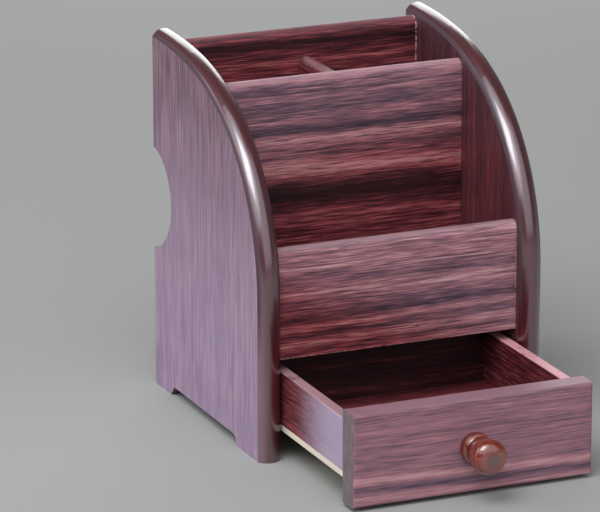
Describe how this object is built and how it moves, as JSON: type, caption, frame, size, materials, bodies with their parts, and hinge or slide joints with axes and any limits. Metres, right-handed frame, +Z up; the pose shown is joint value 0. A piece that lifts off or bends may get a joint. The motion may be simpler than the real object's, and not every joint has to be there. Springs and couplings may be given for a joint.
{
  "type": "pen stand with drawer",
  "caption": "Wooden desk pen stand with curved side panels, pen compartments, a letter slot and a sliding drawer with a turned knob.",
  "frame": {"origin": "centre of the footprint of the object's bounding box at floor level, with the drawer open as modelled", "axes": "+Z up; the drawer opens towards -Y; +X to the right for someone facing the drawer"},
  "size_m": [0.152, 0.2414, 0.1867],
  "materials": {
    "laminate_side": "satin rosewood-grain laminate, grain upright",
    "laminate_board": "satin rosewood-grain laminate, grain across",
    "laminate_hidden": "dark rosewood-grain laminate",
    "drawer_laminate": "satin rosewood-grain laminate",
    "raw_board": "dark grain-printed faces, pale raw edges",
    "turned_wood": "gloss varnish over reddish brown stain",
    "dowel_wood": "plain hardwood",
    "steel": "bright zinc"
  },
  "bodies": {
    "carcass": {"left_side_panel": "laminate_side", "right_side_panel": "laminate_side", "back_panel": "laminate_board", "middle_panel": "laminate_board", "front_apron": "laminate_board", "pen_partition": "laminate_board", "compartment_floor": "laminate_hidden", "base_panel": "laminate_hidden", "back_panel_dowels": "dowel_wood", "middle_panel_dowels": "dowel_wood", "front_apron_dowels": "dowel_wood", "pen_partition_dowels": "dowel_wood", "compartment_floor_dowels": "dowel_wood", "base_panel_dowels": "dowel_wood"},
    "drawer": {"drawer_front": "drawer_laminate", "drawer_left_side": "drawer_laminate", "drawer_right_side": "drawer_laminate", "drawer_back": "drawer_laminate", "drawer_bottom": "raw_board", "drawer_knob": "turned_wood", "knob_screw": "steel", "drawer_front_dowels": "dowel_wood", "drawer_back_brads": "steel", "drawer_bottom_brads": "steel"}
  },
  "joints": [
    {"name": "drawer_slide", "type": "slide", "parent": "carcass", "child": "drawer", "axis": [0, -1, 0], "range_m": [-0.0899, 0.006]}
  ]
}
